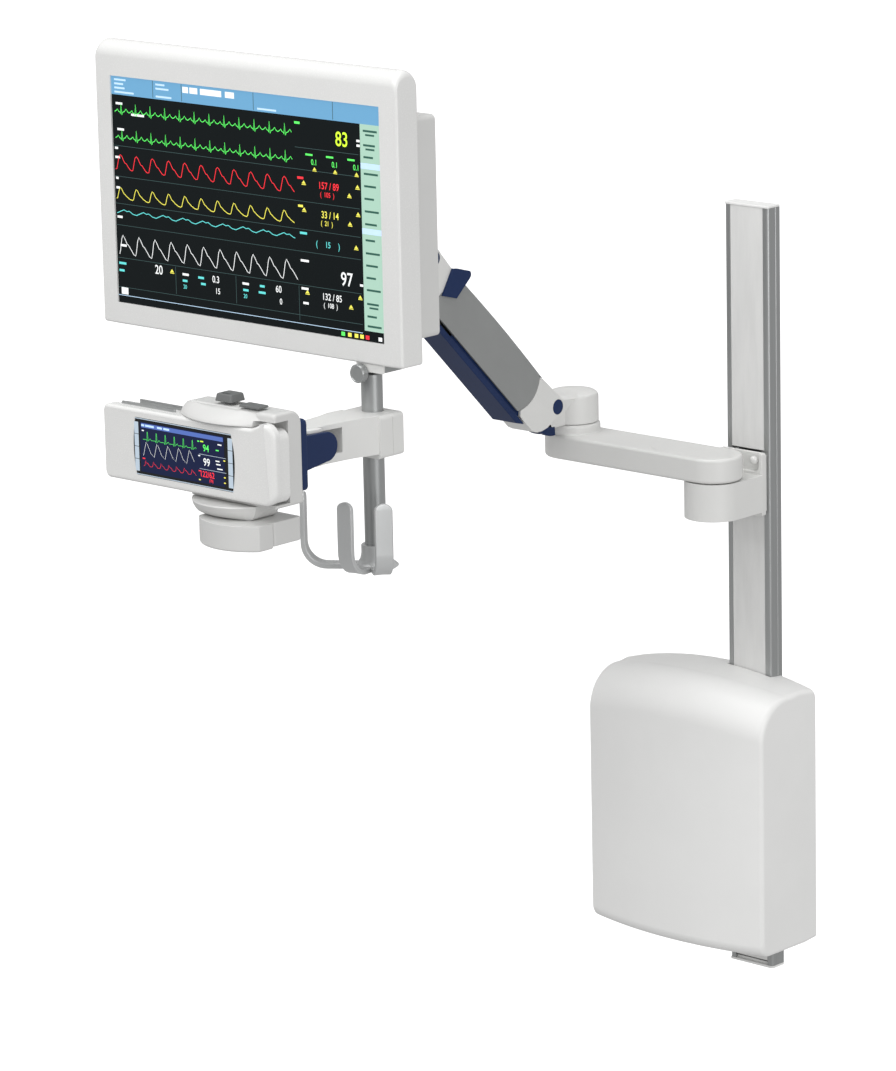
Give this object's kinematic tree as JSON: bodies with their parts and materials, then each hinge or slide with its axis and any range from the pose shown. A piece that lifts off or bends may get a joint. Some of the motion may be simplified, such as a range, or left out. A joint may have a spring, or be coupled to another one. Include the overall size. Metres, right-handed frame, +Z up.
{
  "type": "wall-mounted patient monitoring workstation",
  "caption": "Wall rail with a supply box and a swivelling, height-adjustable arm carrying a large medical display, a cable hook post and a docked transport monitor.",
  "frame": {"origin": "centre of the rail's back face, on the wall", "axes": "+Z up, -Y out of the wall towards the room, +X to the right for someone facing the wall"},
  "size_m": [0.555, 0.8842, 1.2105],
  "materials": {
    "aluminium": "anodised satin",
    "strip_plastic": "satin",
    "white_plastic": "fine satin",
    "white_paint": "cast, white powder coat",
    "white_gloss": "soft gloss",
    "pale_gray_plastic": "satin",
    "rail_trim": "satin",
    "bolt_paint": "painted head",
    "steel": "turned",
    "gray_steel": "powder coat",
    "bush_brass": "plain bearing",
    "gray_plastic": "satin",
    "blue_plastic": "satin",
    "blue_paint": "powder coat",
    "black_paint": "powder coat",
    "screen_glass": "clear over a dark screen",
    "panel_metal": "screen module with a thin metal back, about as light as plastic",
    "board": "circuit board",
    "battery_black": "satin",
    "post_paint": "metallic gray",
    "hook_gray": "cast, metallic gray paint",
    "knob_gray": "satin",
    "key_gray": "satin"
  },
  "bodies": {
    "wall_unit": {"rail_channel": "aluminium", "rail_strips": "strip_plastic", "rail_end_caps": "white_plastic", "carriage_plate": "white_paint", "carriage_housing": "white_paint", "carriage_clamp_bars": "steel", "carriage_bolts": "bolt_paint", "extension_pin": "steel", "box_back_plate": "gray_steel", "box_cover": "white_plastic", "power_supply": "black_paint", "box_screws": "steel"},
    "extension": {"extension_arm": "white_paint", "extension_bush": "bush_brass", "elbow_pin": "steel", "elbow_collar": "white_paint"},
    "elbow": {"elbow_knuckle": "white_paint", "rear_arm_pins": "steel"},
    "spring_arm": {"arm_beam": "gray_steel", "arm_upper_cover": "gray_plastic", "rear_arm_cap": "white_plastic", "front_arm_cap": "white_plastic", "pivot_caps": "blue_plastic", "gas_spring": "black_paint", "cable_clip": "blue_plastic"},
    "parallel_link": {"lower_link": "blue_plastic"},
    "head_knuckle": {"front_knuckle": "white_paint", "front_arm_pins": "steel", "head_pin": "steel"},
    "head": {"head_arm": "white_paint", "tilt_pin": "steel"},
    "display": {"vesa_bracket": "gray_steel", "display_rear_shell": "pale_gray_plastic", "display_front_shell": "white_gloss", "display_glass": "screen_glass", "lcd_panel": "panel_metal", "display_board": "board", "display_screws": "steel", "post_bracket": "post_paint", "bracket_cover": "white_plastic", "post_tube": "post_paint", "cable_hook": "hook_gray"},
    "lock_knob": {"post_lock_knob": "knob_gray"},
    "post_clamp": {"dock_arm": "white_paint", "clamp_cap": "white_paint", "clamp_screws": "steel", "dock_swivel_pin": "steel"},
    "dock_joint": {"dock_knuckle": "knob_gray"},
    "dock": {"dock_bracket": "blue_paint", "dock_housing": "pale_gray_plastic", "dock_base": "pale_gray_plastic", "connector_box": "pale_gray_plastic"},
    "release_key": {"release_button": "key_gray"},
    "power_key": {"power_button": "key_gray"},
    "small_monitor": {"monitor_front_shell": "white_gloss", "monitor_rear_shell": "white_gloss", "monitor_glass": "screen_glass", "monitor_display": "panel_metal", "monitor_battery": "battery_black", "monitor_rails": "rail_trim"}
  },
  "joints": [
    {"name": "extension_swivel", "type": "hinge", "parent": "wall_unit", "child": "extension", "pos_m": [0, -0.09, 0.17], "axis": [0, 0, 1], "range_deg": [0, 180]},
    {"name": "elbow_swivel", "type": "hinge", "parent": "extension", "child": "elbow", "pos_m": [-0.226, -0.09, 0.21], "axis": [0, 0, 1], "range_deg": [-45, 90]},
    {"name": "arm_lift", "type": "hinge", "parent": "elbow", "child": "spring_arm", "pos_m": [-0.226, -0.141, 0.2265], "axis": [-1, 0, 0], "range_deg": [-70, 5]},
    {"name": "link_turn", "type": "hinge", "parent": "elbow", "child": "parallel_link", "pos_m": [-0.226, -0.149, 0.2005], "axis": [-1, 0, 0], "range_deg": [-70, 5]},
    {"name": "head_level", "type": "hinge", "parent": "spring_arm", "child": "head_knuckle", "pos_m": [-0.226, -0.3602, 0.4457], "axis": [1, 0, 0], "range_deg": [-70, 5]},
    {"name": "head_swivel", "type": "hinge", "parent": "head_knuckle", "child": "head", "pos_m": [-0.226, -0.4112, 0.4457], "axis": [0, 0, 1], "range_deg": [-45, 90]},
    {"name": "display_tilt", "type": "hinge", "parent": "head", "child": "display", "pos_m": [-0.226, -0.5552, 0.5485], "axis": [1, 0, 0], "range_deg": [-20, 10]},
    {"name": "knob_turn", "type": "hinge", "parent": "display", "child": "lock_knob", "pos_m": [-0.0475, -0.6422, 0.3756], "axis": [0, -1, 0], "range_deg": [-180, 180]},
    {"name": "clamp_swivel", "type": "hinge", "parent": "display", "child": "post_clamp", "pos_m": [-0.0475, -0.6422, 0.279], "axis": [0, 0, 1], "range_deg": [-30, 60]},
    {"name": "dock_swivel", "type": "hinge", "parent": "post_clamp", "child": "dock_joint", "pos_m": [-0.052, -0.7502, 0.3095], "axis": [0, 0, 1], "range_deg": [-25, 25]},
    {"name": "dock_tilt", "type": "hinge", "parent": "dock_joint", "child": "dock", "pos_m": [-0.052, -0.7502, 0.3095], "axis": [1, 0, 0], "range_deg": [-15, 10]},
    {"name": "release_press", "type": "slide", "parent": "dock", "child": "release_key", "axis": [0, 0, -1], "range_m": [0, 0.003], "stiffness_N_per_m": 400, "springref_m": -0.002},
    {"name": "power_press", "type": "slide", "parent": "dock", "child": "power_key", "axis": [0, 0, -1], "range_m": [0, 0.002], "stiffness_N_per_m": 400, "springref_m": -0.002},
    {"name": "monitor_release", "type": "slide", "parent": "dock", "child": "small_monitor", "axis": [0, -1, 0], "range_m": [0, 0.06]}
  ],
  "couplings": [
    {"joint": "link_turn", "follows": "arm_lift", "ratio": 1},
    {"joint": "head_level", "follows": "arm_lift", "ratio": 1}
  ]
}
